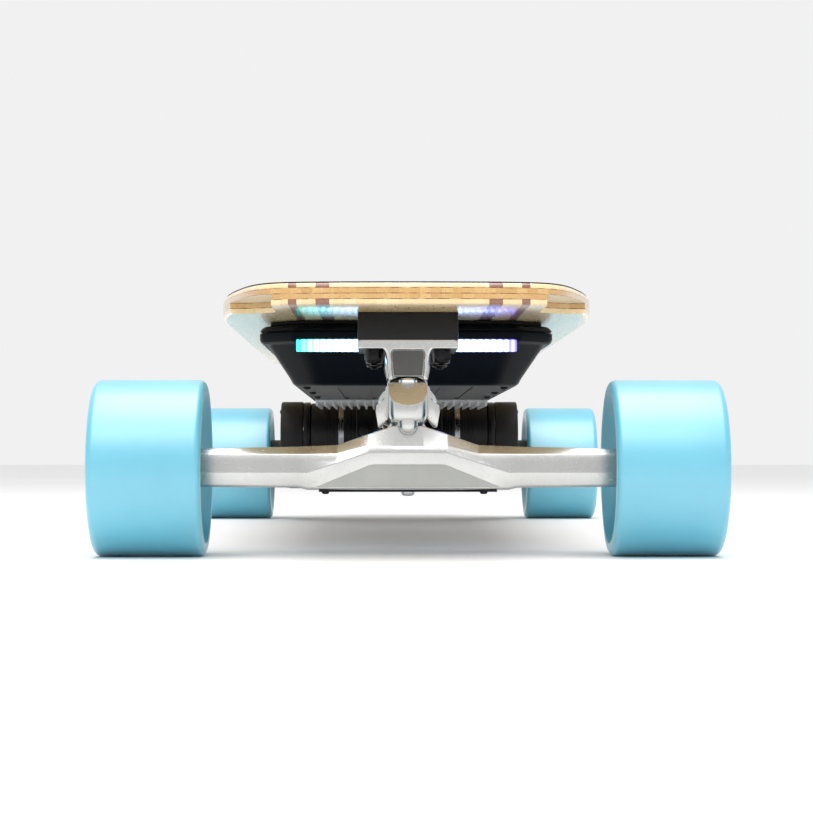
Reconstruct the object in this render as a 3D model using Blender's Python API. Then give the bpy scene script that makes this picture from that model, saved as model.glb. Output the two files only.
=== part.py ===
"""Electric skateboard: bamboo deck, two double-pivot trucks, under-deck case, two belt drives.

Lengths are in millimetres until mesh data is written in metres. X is across the
board, +Y runs from nose to tail, Z is up, and z = 0 is the ground. Truck parts
are laid out in (u, z): u runs from the truck's own axle towards its own end of
the board, so one description makes the front and the rear truck.
"""

import math

import bmesh
import bpy
from mathutils import Matrix, Vector

for old in list(bpy.data.objects):
    bpy.data.objects.remove(old)

MM = 0.001
AXLE_Y = 403.0
AXLE_Z = 53.5
LIFT = 160.5  # top of the deck


# ---------------------------------------------------------------- helpers
def finish(name, bm):
    bmesh.ops.remove_doubles(bm, verts=bm.verts, dist=1e-4)
    bmesh.ops.recalc_face_normals(bm, faces=bm.faces)
    bmesh.ops.scale(bm, vec=(MM, MM, MM), verts=bm.verts)
    mesh = bpy.data.meshes.new(name)
    bm.to_mesh(mesh)
    bm.free()
    obj = bpy.data.objects.new(name, mesh)
    bpy.context.scene.collection.objects.link(obj)
    return obj


def loft(name, loops):
    """Closed solid through loops of equal length, with a flat cap at each end."""
    bm = bmesh.new()
    rows = [[bm.verts.new(p) for p in loop] for loop in loops]
    for a, b in zip(rows, rows[1:]):
        for i in range(len(a)):
            j = (i + 1) % len(a)
            bm.faces.new((a[i], a[j], b[j], b[i]))
    bm.faces.new(rows[0][::-1])
    bm.faces.new(rows[-1])
    return finish(name, bm)


def prism(name, points, plane, low, high):
    """Outline in a plane, pulled along the third axis from low to high."""

    def place(a, b, c):
        return {"XY": (a, b, c), "XZ": (a, c, b), "YZ": (c, a, b)}[plane]

    return loft(name, [[place(a, b, c) for a, b in points] for c in (low, high)])


def box(name, low, high):
    corners = [(low[0], low[1]), (high[0], low[1]), (high[0], high[1]), (low[0], high[1])]
    return prism(name, corners, "XY", low[2], high[2])


def frame(origin, axis):
    turn = Vector(axis).normalized().to_track_quat("Z", "Y").to_matrix().to_4x4()
    return Matrix.Translation(Vector(origin)) @ turn


def lathe(name, profile, origin, axis, steps=32, phase=0.0):
    """Profile of (radius, height) turned about an axis. It is a ring unless its ends lie on the axis."""
    place = frame(origin, axis)
    bm = bmesh.new()
    rows = []
    for radius, height in profile:
        if radius < 1e-6:
            rows.append([bm.verts.new(place @ Vector((0, 0, height)))])
            continue
        rows.append(
            [
                bm.verts.new(
                    place
                    @ Vector(
                        (
                            radius * math.cos(phase + 2 * math.pi * i / steps),
                            radius * math.sin(phase + 2 * math.pi * i / steps),
                            height,
                        )
                    )
                )
                for i in range(steps)
            ]
        )
    pairs = list(zip(rows, rows[1:]))
    if len(rows[0]) > 1:
        pairs.append((rows[-1], rows[0]))
    for a, b in pairs:
        for i in range(steps):
            j = (i + 1) % steps
            if len(a) == 1:
                bm.faces.new((a[0], b[j], b[i]))
            elif len(b) == 1:
                bm.faces.new((a[i], a[j], b[0]))
            else:
                bm.faces.new((a[i], a[j], b[j], b[i]))
    return finish(name, bm)


def rod(name, radius, origin, axis, start, end, steps=24, phase=0.0):
    return lathe(name, [(0, start), (radius, start), (radius, end), (0, end)], origin, axis, steps, phase)


def ball(name, radius, centre, steps=12):
    rows = [(radius * math.sin(math.pi * i / 6), -radius * math.cos(math.pi * i / 6)) for i in range(7)]
    rows[0], rows[-1] = (0, -radius), (0, radius)
    return lathe(name, rows, centre, (0, 0, 1), steps)


def combine(obj, other, operation):
    change = obj.modifiers.new("change", "BOOLEAN")
    change.operation = operation
    change.solver = "EXACT"
    change.object = other
    bpy.context.view_layer.update()
    graph = bpy.context.evaluated_depsgraph_get()
    mesh = bpy.data.meshes.new_from_object(obj.evaluated_get(graph))
    obj.modifiers.remove(change)
    obj.data = mesh
    bpy.data.objects.remove(other)
    bm = bmesh.new()
    bm.from_mesh(mesh)
    bmesh.ops.remove_doubles(bm, verts=bm.verts, dist=2e-6)
    bmesh.ops.dissolve_degenerate(bm, edges=bm.edges, dist=1e-6)
    bm.to_mesh(mesh)
    bm.free()
    return obj


def cut(obj, *others):
    for other in others:
        combine(obj, other, "DIFFERENCE")
    return obj


def join(obj, *others):
    for other in others:
        combine(obj, other, "UNION")
    return obj


def smooth(points, per=2):
    """Curve through the points, for an outline."""
    out = []
    last = len(points) - 1
    for i in range(last):
        p0, p1, p2, p3 = points[max(i - 1, 0)], points[i], points[i + 1], points[min(i + 2, last)]
        for k in range(per):
            t = k / per
            out.append(
                tuple(
                    0.5 * (2 * b + (c - a) * t + (2 * a - 5 * b + 4 * c - d) * t * t + (3 * b - a - 3 * c + d) * t**3)
                    for a, b, c, d in zip(p0, p1, p2, p3)
                )
            )
    out.append(points[-1])
    return out


# ---------------------------------------------------------------- deck
# Half width against u, from the tip of the nose to where the sides run straight.
NOSE = [(0, 79.5), (40, 78.4), (66, 75), (80, 69), (88, 60), (93.6, 49), (99, 33), (105, 9.5), (109.6, -11), (114.6, -42), (118.6, -85), (120, -130), (120, -200)]


def deck_outline(inset=0.0):
    quarter = [(x, AXLE_Y + u) for x, u in smooth(NOSE)]
    right = quarter + [(x, -y) for x, y in reversed(quarter)]
    whole = right + [(-x, y) for x, y in reversed(right)][1:-1]
    count = len(whole)
    out = []
    for i, (x, y) in enumerate(whole):
        ax, ay = whole[i - 1]
        bx, by = whole[(i + 1) % count]
        length = math.hypot(bx - ax, by - ay)
        nx, ny = (by - ay) / length, -(bx - ax) / length
        if nx * x + ny * y < 0:
            nx, ny = -nx, -ny
        out.append((x - nx * inset, y - ny * inset))
    return out


BOLT_X = 20.65
BOLT_U = (1.0, -52.9)


def bolt_places():
    return [(x, side * (AXLE_Y + u)) for side in (-1, 1) for u in BOLT_U for x in (-BOLT_X, BOLT_X)]


deck = prism("deck", deck_outline(), "XY", 148.0, LIFT)
for sx in (-1, 1):
    for sy in (-1, 1):
        rebate = [(80.0, 5.0), (96.0, -7.0), (150.0, -7.0), (150.0, 100.0), (80.0, 100.0)]
        corners = [(sx * x, sy * (AXLE_Y + u)) for x, u in rebate]
        cut(deck, prism("rebate", corners, "XY", 140.0, 154.4))
grip = prism("grip_tape", deck_outline(1.6), "XY", LIFT + 0.05, 161.3)
for x, y in bolt_places():
    cut(deck, rod("hole", 2.9, (x, y, 0), (0, 0, 1), 140, 170, 10))
    cut(
        grip,
        lathe("hole", [(0, 155), (2.9, 155), (2.9, 160.4), (5.4, 160.4), (5.4, 165), (0, 165)], (x, y, 0), (0, 0, 1), 12),
    )
    cut(deck, lathe("sink", [(0, 157.2), (2.9, 157.2), (5.4, 160.5), (5.4, 161), (0, 161)], (x, y, 0), (0, 0, 1), 10))

names = ["front_bolt_a", "front_bolt_b", "front_bolt_c", "front_bolt_d", "rear_bolt_a", "rear_bolt_b", "rear_bolt_c", "rear_bolt_d"]
for name, (x, y) in zip(names, bolt_places()):
    bolt = rod("shank", 2.5, (x, y, 0), (0, 0, 1), 115.6, 158.0, 10)
    join(bolt, lathe("head", [(0, 157.4), (2.5, 157.4), (5.1, 160.6), (5.1, 161.0), (0, 161.0)], (x, y, 0), (0, 0, 1), 10))
    join(bolt, rod("nut", 5.5, (x, y, 0), (0, 0, 1), 117.0, 125.7, 6))
    bolt.name = name


# ---------------------------------------------------------------- trucks
RING_A = (-21.0, 93.5)
NUB_A = (5.0, 107.0)
RING_B = (-36.0, 58.0)
NUB_B = (14.0, 79.5)


def truck(end, s, arm_end):
    """All the parts of one truck. s is the sign of y at this end of the board."""

    def at(u, z, x=0.0):
        return (x, s * (AXLE_Y + u), z)

    def side(points):
        return [(s * (AXLE_Y + u), z) for u, z in points]

    def down(ring, nub):
        length = math.hypot(nub[0] - ring[0], nub[1] - ring[1])
        return ((nub[1] - ring[1]) / length, -(nub[0] - ring[0]) / length)

    def along(ring, d, far):
        return (ring[0] + d[0] * far, ring[1] + d[1] * far)

    dir_a, dir_b = down(RING_A, NUB_A), down(RING_B, NUB_B)
    axis_a, axis_b = (0, s * dir_a[0], dir_a[1]), (0, s * dir_b[0], dir_b[1])
    at_a, at_b = at(*RING_A), at(*RING_B)

    # Riser pad between the deck and the baseplate.
    pad = [(-29, 11), (29, 11), (30.5, 9.5), (30.5, -61.5), (29, -63), (-29, -63), (-30.5, -61.5), (-30.5, 9.5)]
    pad = [(x, s * (AXLE_Y + u)) for x, u in pad]
    riser = prism(end + "_riser", pad, "XY", 131.1, 147.9)

    # Baseplate: flange, neck with the upper pivot cup, and the kingpin boss.
    plate = prism(end + "_baseplate", pad, "XY", 126.0, 131.0)
    neck = []
    for z, half, front, back in ((128, 14.5, 11, -12), (123, 13.4, 11, -10), (117, 12.6, 11, -7), (109, 11.7, 11, -5)):
        neck.append([at(front - 3, z, -half), at(front, z, 3 - half), at(front, z, half - 3), at(front - 3, z, half), at(back, z, half), at(back, z, -half)])
    join(plate, loft("neck", neck))
    join(plate, rod("boss", 12.5, at_a, axis_a, -38.0, -12.2, 20))
    cut(plate, box("trim", (-80, s * 350 - 150, 130.98), (80, s * 350 + 150, 200)))
    cut(plate, ball("cup", 5.0, at(*NUB_A)))
    cut(plate, rod("bore", 5.0, at_a, axis_a, -26.0, 0, 14))
    for u in BOLT_U:
        for x in (-BOLT_X, BOLT_X):
            for holed in (riser, plate):
                cut(holed, rod("hole", 2.9, at(u, 0, x), (0, 0, 1), 120, 150, 10))

    # Arm: upper pivot nub, knuckle, lower pivot nub, upper yoke ring and the leg of the lower kingpin.
    arm = rod(end + "_arm", 18.0, at_a, axis_a, -3.4, 3.4, 24)
    join(arm, prism("web", side([(-14, 94.4), (-3, 99.4), (-3, 81.5), (19.9, 81.5), (19.9, 92.5), (9.5, 104.6), (-1.5, 104.6), (-14, 99.2)]), "YZ", -10.2, 10.2))
    knuckle = [(0, 80.0), (6.0, 80.0), (9.8, 81.4), (11.5, 84.5), (11.5, 92.5), (0, 92.5)]
    join(arm, lathe("knuckle", knuckle, at(8.5, 0), (0, 0, 1), 20))
    join(arm, rod("neck", 3.4, at(*NUB_A), (0, 0, 1), -4.0, 0, 12))
    join(arm, ball("upper_nub", 4.6, at(*NUB_A)))
    join(arm, rod("stem", 5.0, at(*NUB_B), (0, 0, 1), 0, 8.0, 16))
    join(arm, ball("lower_nub", 6.0, at(*NUB_B)))
    join(arm, rod("foot", 12.5, at_b, axis_b, -22.5, -11.8, 20))
    join(arm, prism("leg", side([(-50.0, 72.0), (-35.0, 72.0), (-33.5, 87.6), (-36, 92), (-43, 90), (-51.0, 80)]), "YZ", -11.0, 11.0))
    for sx in (-1, 1):
        cheek = [(12.4, 103.0), (13.6, 103.0), (14.3, 95.4), (19.2, 91.4), (19.5, 88.0), (18.0, 79.4), (16.4, 78.8), (12.4, 84.0)]
        low, high = sorted((s * (AXLE_Y - 20.0), s * (AXLE_Y - 8.0)))
        join(arm, prism("cheek", [(sx * x, z) for x, z in cheek], "XZ", low, high))
    cut(arm, rod("bore", 6.8, at_a, axis_a, -9, 9, 16))
    cut(arm, rod("bore", 5.0, at_b, axis_b, -20.8, 0, 14))

    # Hanger: a beam in sections across the board, a crest for the lower pivot cup, and the lower yoke ring.
    def section(x, bottom, back_top, top, lip, brow, ridge):
        points = [
            (-10.5, bottom), (-12.5, bottom + 2.5), (-12.5, back_top - 2.5), (-10.5, back_top), (0.6, back_top), (1.0, top),
            lip, (brow[0], brow[1]), (brow[0] + 1.0, brow[2]), ridge, (ridge[0] - 2.2, bottom + 1.2), (ridge[0] - 3.6, bottom),
        ]
        return [at(u, z, x) for u, z in points]

    half = [
        (9.0, 40.3, 62.0, 79.0, (12.6, 79.0), (14.6, 66.8, 64.7), (15.6, 62.7)),
        (23.7, 40.3, 62.0, 74.0, (11.6, 74.0), (14.4, 66.8, 64.7), (15.5, 62.7)),
        (43.0, 40.3, 63.0, 67.4, (7.4, 67.4), (12.2, 62.2, 59.2), (14.4, 56.6)),
        (61.0, 40.3, 64.6, 66.8, (6.4, 66.8), (11.6, 62.0, 57.6), (13.3, 50.6)),
        (66.0, 41.6, 64.6, 66.5, (6.4, 66.5), (11.5, 62.0, 57.6), (13.2, 50.5)),
        (arm_end, 42.2, 64.0, 65.2, (6.4, 65.2), (11.3, 62.0, 57.6), (12.8, 50.5)),
    ]
    beam = [section(-x, *rest) for x, *rest in reversed(half)] + [section(x, *rest) for x, *rest in half]
    hanger = loft(end + "_hanger", beam)
    join(hanger, rod("ring", 16.5, at_b, axis_b, -3.4, 3.4, 24))
    join(hanger, prism("web", side([(-25, 60.6), (-14, 65.2), (-12, 56), (-4, 56), (-2, 67.5), (-12, 67.5), (-19, 67.0), (-25, 65.4)]), "YZ", -14.0, 14.0))
    cut(hanger, rod("bore", 6.8, at_b, axis_b, -9, 9, 16))
    cut(hanger, lathe("cup", [(0, -6.3), (3.4, -5.3), (5.5, -3.0), (6.4, 0), (6.4, 5.0), (0, 5.0)], at(*NUB_B), (0, 0, 1), 18))
    cut(hanger, rod("bore", 4.2, at(0, AXLE_Z), (1, 0, 0), -200, 200, 16))

    for name, centre, axis in (("upper", at_a, axis_a), ("lower", at_b, axis_b)):
        pin = [(0, -19.6), (4.6, -19.6), (4.6, 12.0), (10.2, 12.0), (10.2, 13.4), (7.6, 13.4), (7.6, 19.0), (4.6, 19.0), (4.6, 20.0), (0, 20.0)]
        lathe(f"{end}_kingpin_{name}", pin, centre, axis, 12)
        # One double bushing per kingpin: its collar passes through the yoke ring.
        profile = [(5.0, -11.6), (12.0, -11.6), (12.0, -3.6), (6.4, -3.6), (6.4, 3.6), (12.0, 3.6), (12.0, 11.8), (5.0, 11.8)]
        lathe(f"{end}_bushing_{name}", profile, centre, axis, 16)

    # Axle with its shoulders.
    shoulder = 6.0
    profile = [(0, -190.5), (3.4, -190.5), (4.0, -189.9), (4.0, -135.6), (shoulder, -135.6), (shoulder, -arm_end - 0.4), (4.0, -arm_end - 0.4)]
    profile += [(r, -h) for r, h in reversed(profile)]
    lathe(end + "_axle", profile, at(0, AXLE_Z), (1, 0, 0), 16)


truck("front", -1, 130.0)
truck("rear", 1, 89.0)


# ---------------------------------------------------------------- wheels
def wheels(end, s):
    for side, sx in (("left", -1), ("right", 1)):
        hub = (0, s * AXLE_Y, AXLE_Z)
        out = (sx, 0, 0)
        tread = [
            (11.12, 136.0), (30.0, 136.0), (45.4, 123.6), (47.4, 122.4), (50.4, 123.2), (52.8, 126.4), (53.5, 130.5),
            (53.5, 183.0), (52.7, 187.2), (50.4, 189.2), (47.4, 189.8), (30.0, 179.6), (11.12, 177.2),
        ]
        # Flats, not corners, meet the ground, at the wheel's true radius.
        flat = 1 / math.cos(math.pi / 28)
        lathe(f"{end}_{side}_wheel", [(r * flat, x) for r, x in tread], hub, out, 28, math.pi / 28)
        race = [
            (4.12, 136.1), (11.0, 136.1), (11.0, 142.9), (5.8, 142.9), (5.8, 170.3), (11.0, 170.3), (11.0, 177.1), (4.12, 177.1),
        ]
        lathe(f"{end}_{side}_bearings", race, hub, out, 16)
        nut = [(4.3, 177.4), (8.2, 177.4), (8.2, 178.4), (7.2, 178.4), (7.2, 186.0), (4.3, 186.0)]
        lathe(f"{end}_{side}_axle_nut", nut, hub, out, 12)


wheels("front", -1)
wheels("rear", 1)


# ---------------------------------------------------------------- case
def ring(half, front, back, chamfer, z, roundness=3.0):
    """Rectangle with cut corners, each corner slightly rounded."""
    hard = [(half, front + chamfer), (half, back - chamfer), (half - chamfer, back), (chamfer - half, back), (-half, back - chamfer), (-half, front + chamfer), (chamfer - half, front), (half - chamfer, front)]
    out = []
    for i, (x, y) in enumerate(hard):
        for other in (hard[i - 1], hard[(i + 1) % 8]):
            length = math.hypot(other[0] - x, other[1] - y)
            out.append((x + (other[0] - x) * roundness / length, y + (other[1] - y) * roundness / length, z))
    return out


FRONT, BACK = -336.0, 278.0
levels = [
    (72.0, 40.0, 107.0, 14.0), (75.0, 37.0, 108.0, 15.0), (77.0, 34.0, 112.0, 16.0), (89.5, 6.5, 132.0, 22.0),
    (91.0, 4.5, 133.2, 23.0), (94.4, 1.0, 134.4, 24.0), (95.5, 0.0, 137.0, 24.0), (95.5, 0.0, 141.0, 24.0), (94.0, 0.8, 143.6, 24.0), (92.4, 2.2, 145.0, 23.5),
]
hull = [ring(w, FRONT + slope, BACK - min(slope, 0.6), c, z) for w, slope, z, c in levels]
shell = loft("case_shell", hull)
hollow = [
    ring(69.0, FRONT + 44, BACK - 4, 12.0, 110.0), ring(74.0, FRONT + 38, BACK - 4, 14.0, 112.5),
    ring(85.0, FRONT + 11, BACK - 4, 20.0, 132.0), ring(86.0, FRONT + 9, BACK - 4, 20.0, 150.0),
]
cut(shell, loft("hollow", hollow))
lid = loft("case_lid", [ring(87.8, FRONT + 6, BACK - 5, 22.0, 145.2), ring(88.6, FRONT + 5, BACK - 4, 22.0, 145.9), ring(88.6, FRONT + 5, BACK - 4, 22.0, 147.9)])

# The light bar sits in a slot across the front of the case.
bar = [(FRONT + 1.4, 127.5), (FRONT - 0.6, 128.4), (FRONT - 1.6, 131.0), (FRONT - 1.6, 134.4), (FRONT - 0.6, 136.0), (FRONT + 7.0, 136.0), (FRONT + 7.0, 127.5)]
slot = [(FRONT - 9.0, 127.2), (FRONT - 9.0, 136.3), (FRONT + 7.3, 136.3), (FRONT + 7.3, 127.2)]
cut(shell, prism("slot", slot, "YZ", -70.8, 70.8))
prism("led_light_bar", bar, "YZ", -70.5, 70.5)

# Finned heat sink under the rear of the case.
fins = [(-73.0, 106.8)]
for i in range(22):
    x = -73.0 + i * 6.6 + 3.7
    fins += [(x - 3.7, 101.7), (x - 3.7 + 2.6, 101.7), (x - 3.7 + 2.6, 105.0), (x - 3.7 + 6.6, 105.0)]
fins = fins[:-1]
fins += [(fins[-1][0], 106.8)]
middle = 0.5 * (fins[0][0] + fins[-1][0])
prism("heat_sink", [(x - middle, z) for x, z in fins], "XZ", 57.0, 215.0)

box("battery_pack", (-62, -270, 112), (62, 45, 141))
box("motor_controller", (-58, 62, 111), (58, 190, 136))

# Power button and charge port on the rear wall.
cut(shell, rod("hole", 7.3, (-36, 0, 125), (0, 1, 0), 260, 290, 16))
lathe("power_button", [(0, 272.0), (8.6, 272.0), (8.6, 273.6), (7.0, 273.6), (7.0, 279.4), (6.2, 280.2), (0, 280.2)], (-36, 0, 125), (0, 1, 0), 16)
cut(shell, rod("hole", 8.0, (36, 0, 123), (0, 1, 0), 260, 290, 16))
cap = prism("charge_cap", [(25, 112), (47, 112), (48.5, 113.5), (48.5, 131), (46, 134.6), (26, 134.6), (23.5, 131), (23.5, 113.5)], "XZ", 278.2, 280.6)
join(cap, rod("hinge", 1.5, (0, 279.9, 135.4), (1, 0, 0), 27, 45, 12))
join(cap, rod("plug", 7.4, (36, 0, 123), (0, 1, 0), 276.4, 279.0, 16))


# ---------------------------------------------------------------- drives
MOTOR_U, MOTOR_Z = -75.0, 80.0


def drive(side, sx):
    def at(x=0.0):
        return (x, AXLE_Y + MOTOR_U, MOTOR_Z)

    out = (sx, 0, 0)
    can = [
        (0, 17.0), (23.0, 17.0), (28.4, 19.0), (30.0, 24.0), (30.0, 40.0), (29.0, 41.0), (29.0, 68.0), (30.0, 69.0), (30.0, 82.6), (5.2, 82.6), (5.2, 40.0), (0, 40.0),
    ]
    lathe(side + "_motor_housing", can, at(), out, 24)
    rotor = [(0, 42.0), (4.6, 42.0), (4.6, 90.6), (13.6, 90.6), (13.6, 92.0), (12.2, 92.2), (12.2, 107.0), (0, 107.0)]
    lathe(side + "_motor_rotor", rotor, at(), out, 20)

    # Mount: one plate, clamped on the hanger's arm and bolted to the motor's face.
    axle = (AXLE_Y, AXLE_Z)
    motor = (AXLE_Y + MOTOR_U, MOTOR_Z)

    def stadium(ra, rb, steps=12):
        dy, dz = motor[0] - axle[0], motor[1] - axle[1]
        far = math.hypot(dy, dz)
        base = math.atan2(dz, dy)
        lean = math.acos((ra - rb) / far)
        points = []
        for centre, radius, start, stop in ((axle, ra, base + lean, base + 2 * math.pi - lean), (motor, rb, base - lean, base + lean)):
            for k in range(steps + 1):
                t = start + (stop - start) * k / steps
                points.append((centre[0] + radius * math.cos(t), centre[1] + radius * math.sin(t)))
        return points

    low, high = sorted((sx * 82.9, sx * 88.9))
    mount = prism(side + "_motor_mount", stadium(23.0, 31.0), "YZ", low, high)
    cut(mount, prism("grip", [(AXLE_Y + u, z) for u, z in ((-12.8, 41.8), (-12.8, 66.2), (7.0, 66.2), (13.6, 62.4), (13.6, 41.8))], "YZ", low - 5, high + 5))
    cut(mount, rod("bore", 12.0, at(), out, 70, 100, 16))

    # Pulley on the wheel: toothed rim between two flanges, and a hub that reaches the wheel's core.
    pulley = [(6.6, 91.0), (24.2, 91.0), (24.2, 92.6), (22.2, 92.8), (22.2, 107.2), (24.2, 107.4), (24.2, 109.0), (22.4, 109.2), (22.4, 135.7), (6.6, 135.7)]
    lathe(side + "_wheel_pulley", pulley, (0, AXLE_Y, AXLE_Z), out, 24)

    low, high = sorted((sx * 93.2, sx * 106.0))
    belt = prism(side + "_belt", stadium(24.4, 14.4, 12), "YZ", low, high)
    cut(belt, prism("inside", stadium(22.6, 12.6, 12), "YZ", low - 5, high + 5))

    # Cover over the motor's pulley, open towards the axle.
    low, high = sorted((sx * 89.2, sx * 110.4))
    cover = prism(side + "_belt_cover", stadium(31.0, 31.4, 10), "YZ", low, high)
    low, high = sorted((sx * 80.0, sx * 108.8))
    cut(cover, prism("inside", stadium(29.2, 29.6, 10), "YZ", low, high))
    cut(cover, rod("room", 36.0, (0, AXLE_Y, AXLE_Z), out, 80, 140, 24))


drive("left", -1)
drive("right", 1)
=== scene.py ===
"""Looks of the electric skateboard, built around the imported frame.

Shapes are laid out in millimetres and written to meshes in metres. Truck parts
use (u, z): u runs from the truck's own axle towards its own end of the board.
"""

import math

import bmesh
import bpy
from mathutils import Matrix, Vector


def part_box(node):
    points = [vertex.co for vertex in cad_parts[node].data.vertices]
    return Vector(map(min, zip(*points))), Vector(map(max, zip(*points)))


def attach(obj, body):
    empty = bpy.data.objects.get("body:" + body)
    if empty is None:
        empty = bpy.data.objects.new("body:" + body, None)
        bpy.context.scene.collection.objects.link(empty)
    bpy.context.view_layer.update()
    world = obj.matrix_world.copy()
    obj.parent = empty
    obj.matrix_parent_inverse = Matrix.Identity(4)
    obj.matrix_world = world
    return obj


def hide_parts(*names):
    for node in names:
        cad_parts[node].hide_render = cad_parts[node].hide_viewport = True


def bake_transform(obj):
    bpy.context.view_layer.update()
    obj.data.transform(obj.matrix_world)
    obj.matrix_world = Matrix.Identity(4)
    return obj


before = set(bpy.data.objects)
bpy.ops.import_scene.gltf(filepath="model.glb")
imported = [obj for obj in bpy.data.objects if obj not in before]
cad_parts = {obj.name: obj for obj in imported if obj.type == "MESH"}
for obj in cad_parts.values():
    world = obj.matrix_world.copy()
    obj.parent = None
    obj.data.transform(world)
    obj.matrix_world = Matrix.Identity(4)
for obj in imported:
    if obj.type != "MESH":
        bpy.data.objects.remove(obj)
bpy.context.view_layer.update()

MM = 0.001
AXLE_Y, AXLE_Z = 403.0, 53.5
ENDS = (("front", -1), ("rear", 1))
OUT = {"left": (-1, 0, 0), "right": (1, 0, 0)}
UP, DOWN = (0, 0, 1), (0, 0, -1)
# Edges that turn by more than these angles stay sharp in the shading: most pieces, round ones, faceted ones.
SHARP, BLUNT, FACET = [math.radians(angle) for angle in (28, 40, 14)]
# Heights of the deck's underside and of the glue lines between its plies.
DECK_LOW, GLUE = 148.0, (151.15, 154.4, 157.65)
# Half the length of the light bar's lens.
LIGHT_HALF = 70.6


# ---- mesh tools
def place(point, plane):
    a, b, c = point
    return {"XY": (a, b, c), "XZ": (a, c, b), "YZ": (c, a, b)}[plane]


def tidy(bm):
    bmesh.ops.remove_doubles(bm, verts=bm.verts, dist=1e-4)
    bmesh.ops.recalc_face_normals(bm, faces=bm.faces)
    return bm


def loft(loops, caps=True):
    bm = bmesh.new()
    rows = [[bm.verts.new(p) for p in loop] for loop in loops]
    for a, b in zip(rows, rows[1:]):
        for i in range(len(a)):
            j = (i + 1) % len(a)
            bm.faces.new((a[i], a[j], b[j], b[i]))
    if caps:
        bm.faces.new(rows[0][::-1])
        bm.faces.new(rows[-1])
    return tidy(bm)


def prism(points, plane, low, high):
    return loft([[place((a, b, c), plane) for a, b in points] for c in (low, high)])


def box(low, high):
    corners = [(low[0], low[1]), (high[0], low[1]), (high[0], high[1]), (low[0], high[1])]
    return prism(corners, "XY", low[2], high[2])


def brick(*spans):
    """A box between two values on each axis, given in either order."""
    low, high = zip(*[sorted(span) for span in spans])
    return box(low, high)


def axes(origin, axis):
    turn = Vector(axis).normalized().to_track_quat("Z", "Y").to_matrix().to_4x4()
    return Matrix.Translation(Vector(origin)) @ turn


def lathe(profile, origin, axis, steps=64, phase=0.0):
    """A ring of (radius, height) points turned about an axis, or a solid where the ends lie on it."""
    at = axes(origin, axis)
    bm = bmesh.new()
    rows = []
    for radius, height in profile:
        count = 1 if radius < 1e-6 else steps
        ring = []
        for i in range(count):
            t = phase + 2 * math.pi * i / steps
            ring.append(bm.verts.new(at @ Vector((radius * math.cos(t), radius * math.sin(t), height))))
        rows.append(ring)
    pairs = list(zip(rows, rows[1:]))
    if len(rows[0]) > 1:
        pairs.append((rows[-1], rows[0]))
    for a, b in pairs:
        for i in range(steps):
            j = (i + 1) % steps
            if len(a) == 1:
                bm.faces.new((a[0], b[j], b[i]))
            elif len(b) == 1:
                bm.faces.new((a[i], a[j], b[0]))
            else:
                bm.faces.new((a[i], a[j], b[j], b[i]))
    return tidy(bm)


def turned_ring(bore, radius, edge, low, high, origin, axis, steps=48):
    """A flat ring with its two outer edges cut back."""
    land = radius - edge
    loop = [(bore, low), (land, low), (radius, low + edge), (radius, high - edge), (land, high), (bore, high)]
    return lathe(loop, origin, axis, steps)


def tube(bore, radius, low, high, origin, axis, steps=64):
    return lathe([(bore, low), (radius, low), (radius, high), (bore, high)], origin, axis, steps)


def rod(radius, origin, axis, start, end, steps=32, edge=0.0, phase=0.0):
    if not edge:
        return lathe([(0, start), (radius, start), (radius, end), (0, end)], origin, axis, steps, phase)
    cut = 0.3 * edge
    low = [(0, start), (radius - edge, start), (radius - cut, start + cut), (radius, start + edge)]
    high = [(radius, end - edge), (radius - cut, end - cut), (radius - edge, end), (0, end)]
    return lathe(low + high, origin, axis, steps, phase)


def together(*parts):
    whole = bmesh.new()
    for part in parts:
        mesh = bpy.data.meshes.new("part")
        part.to_mesh(mesh)
        part.free()
        whole.from_mesh(mesh)
        bpy.data.meshes.remove(mesh)
    return whole


def bevel(bm, width, segments=2, angle=25.0):
    limit = math.radians(angle)
    edges = [e for e in bm.edges if len(e.link_faces) == 2 and e.calc_face_angle(0) > limit]
    bmesh.ops.bevel(
        bm, geom=edges, offset=width, segments=segments, profile=0.5, affect="EDGES",
        clamp_overlap=True, loop_slide=True,
    )
    return bm


def scratch(bm):
    mesh = bpy.data.meshes.new("scratch")
    bm.to_mesh(mesh)
    bm.free()
    obj = bpy.data.objects.new("scratch", mesh)
    bpy.context.scene.collection.objects.link(obj)
    return obj


def take(obj):
    """The evaluated mesh of a scratch object, which is then removed."""
    bpy.context.view_layer.update()
    graph = bpy.context.evaluated_depsgraph_get()
    mesh = bpy.data.meshes.new_from_object(obj.evaluated_get(graph))
    bm = bmesh.new()
    bm.from_mesh(mesh)
    bpy.data.meshes.remove(mesh)
    bpy.data.objects.remove(obj)
    return bm


def carve(bm, *tools):
    for tool in tools:
        target, other = scratch(bm), scratch(tool)
        change = target.modifiers.new("change", "BOOLEAN")
        change.operation, change.solver, change.object = "DIFFERENCE", "EXACT", other
        bm = take(target)
        bpy.data.objects.remove(other)
    return bm


def cast(parts, voxel=0.55, rounds=4, ratio=0.3):
    """Overlapping solids turned into one cast body with soft inner corners."""
    obj = scratch(together(*parts))
    change = obj.modifiers.new("voxels", "REMESH")
    change.mode, change.voxel_size, change.adaptivity = "VOXEL", voxel, 0.0
    soften = obj.modifiers.new("soften", "SMOOTH")
    soften.factor, soften.iterations = 0.5, rounds
    thin = obj.modifiers.new("thin", "DECIMATE")
    thin.ratio = ratio
    return take(obj)


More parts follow.
